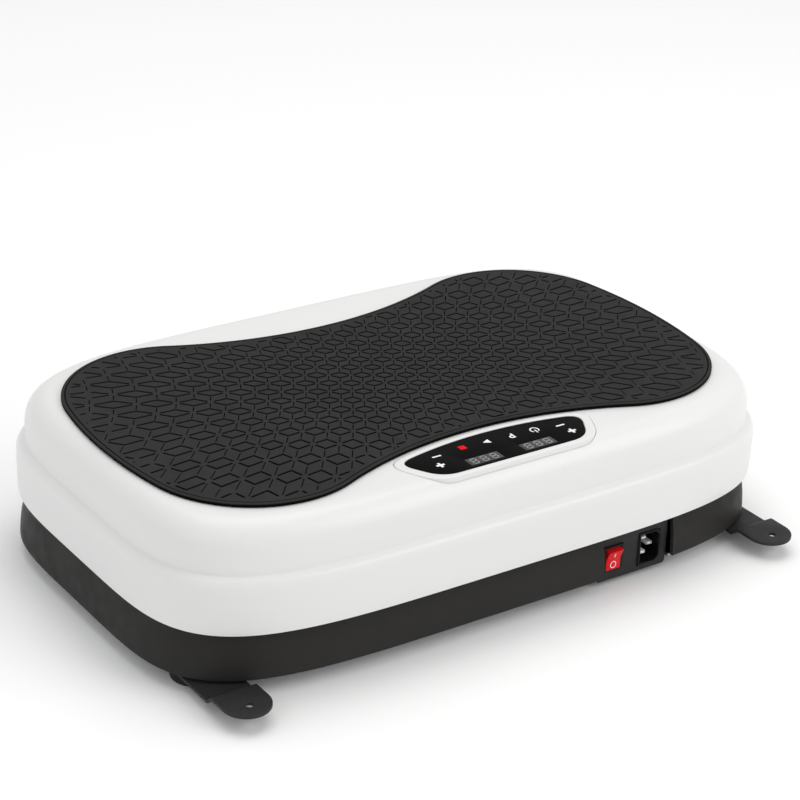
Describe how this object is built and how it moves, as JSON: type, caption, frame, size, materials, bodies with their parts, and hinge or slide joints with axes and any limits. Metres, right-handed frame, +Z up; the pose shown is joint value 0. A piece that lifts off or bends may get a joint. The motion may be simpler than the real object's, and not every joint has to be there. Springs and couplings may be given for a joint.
{
  "type": "vibration plate",
  "caption": "Low exercise platform that rocks on a black base, with a rubber foot mat, a control panel, a mains inlet and two band tabs.",
  "frame": {"origin": "on the floor, under the middle of the part's whole outline with its two band tabs", "axes": "+X along the length, towards the end with the switch and the inlet; +Y to the back, away from the control panel; +Z up"},
  "size_m": [0.5146, 0.3498, 0.1266],
  "materials": {
    "white_shell": "white moulded shell, satin gloss",
    "black_skirt": "black fine-textured moulding",
    "mat_rubber": "charcoal rubber with moulded grooves",
    "foot_rubber": "black rubber",
    "gloss_black": "glossy black touch panel",
    "display_grey": "grey segment display",
    "board_green": "green circuit board",
    "tab_steel": "dark powder coat",
    "switch_red": "red rocker",
    "black_plastic": "black moulding",
    "nickel": "nickel plated",
    "belt_rubber": "ribbed drive belt",
    "motor_paint": "grey paint",
    "cast_iron": "as cast",
    "nylon": "natural nylon",
    "zinc_steel": "zinc plated steel"
  },
  "bodies": {
    "base": {"band_tab_left": "tab_steel", "band_tab_right": "tab_steel", "base_pan": "zinc_steel", "base_skirt": "black_skirt", "bearing_block_front": "cast_iron", "bearing_block_rear": "cast_iron", "buffer_post_front_left": "zinc_steel", "buffer_post_front_right": "zinc_steel", "buffer_post_rear_left": "zinc_steel", "buffer_post_rear_right": "zinc_steel", "control_board": "board_green", "drive_belt": "belt_rubber", "foot_front_left": "foot_rubber", "foot_front_right": "foot_rubber", "foot_rear_left": "foot_rubber", "foot_rear_right": "foot_rubber", "foot_screw_front_left": "zinc_steel", "foot_screw_front_right": "zinc_steel", "foot_screw_rear_left": "zinc_steel", "foot_screw_rear_right": "zinc_steel", "inlet_body": "black_plastic", "inlet_pin_earth": "nickel", "inlet_pin_line": "nickel", "inlet_pin_neutral": "nickel", "motor_can": "motor_paint", "motor_cradle": "cast_iron", "pivot_bracket_front": "zinc_steel", "pivot_bracket_rear": "zinc_steel", "pivot_bush_front": "nylon", "pivot_bush_rear": "nylon", "power_panel": "black_plastic", "rubber_buffer_front_left": "foot_rubber", "rubber_buffer_front_right": "foot_rubber", "rubber_buffer_rear_left": "foot_rubber", "rubber_buffer_rear_right": "foot_rubber", "switch_housing": "black_plastic"},
    "platform": {"display_board": "board_green", "display_speed": "display_grey", "display_time": "display_grey", "foot_mat": "mat_rubber", "panel_bezel": "white_shell", "panel_lens": "gloss_black", "pivot_pin_front": "zinc_steel", "pivot_pin_rear": "zinc_steel", "platform_frame": "zinc_steel", "rod_yoke": "zinc_steel", "top_shell": "white_shell", "wrist_pin": "zinc_steel"},
    "motor_rotor": {"motor_pulley": "cast_iron", "motor_shaft": "zinc_steel"},
    "crank": {"crank_eccentric": "cast_iron", "crank_shaft": "zinc_steel", "driven_pulley": "cast_iron"},
    "rod": {"connecting_rod": "cast_iron"},
    "rocker": {"switch_rocker": "switch_red"}
  },
  "joints": [
    {"name": "platform_tilt", "type": "hinge", "parent": "base", "child": "platform", "pos_m": [0, 0.0111, 0.057], "axis": [0, 1, 0], "range_deg": [-1, 1], "stiffness_Nm_per_rad": 600},
    {"name": "crank_spin", "type": "hinge", "parent": "base", "child": "crank", "pos_m": [0.11, 0.0111, 0.048], "axis": [0, 1, 0], "continuous": true},
    {"name": "motor_spin", "type": "hinge", "parent": "base", "child": "motor_rotor", "pos_m": [-0.095, 0.0111, 0.048], "axis": [0, 1, 0], "continuous": true},
    {"name": "rod_swing", "type": "hinge", "parent": "platform", "child": "rod", "pos_m": [0.11, 0.0111, 0.099], "axis": [0, 1, 0], "range_deg": [-3, 3]},
    {"name": "switch_toggle", "type": "hinge", "parent": "base", "child": "rocker", "pos_m": [0.09, -0.1396, 0.0222], "axis": [-1, 0, 0], "range_deg": [0, 22]}
  ],
  "couplings": [
    {"joint": "motor_spin", "follows": "crank_spin", "ratio": 2}
  ]
}
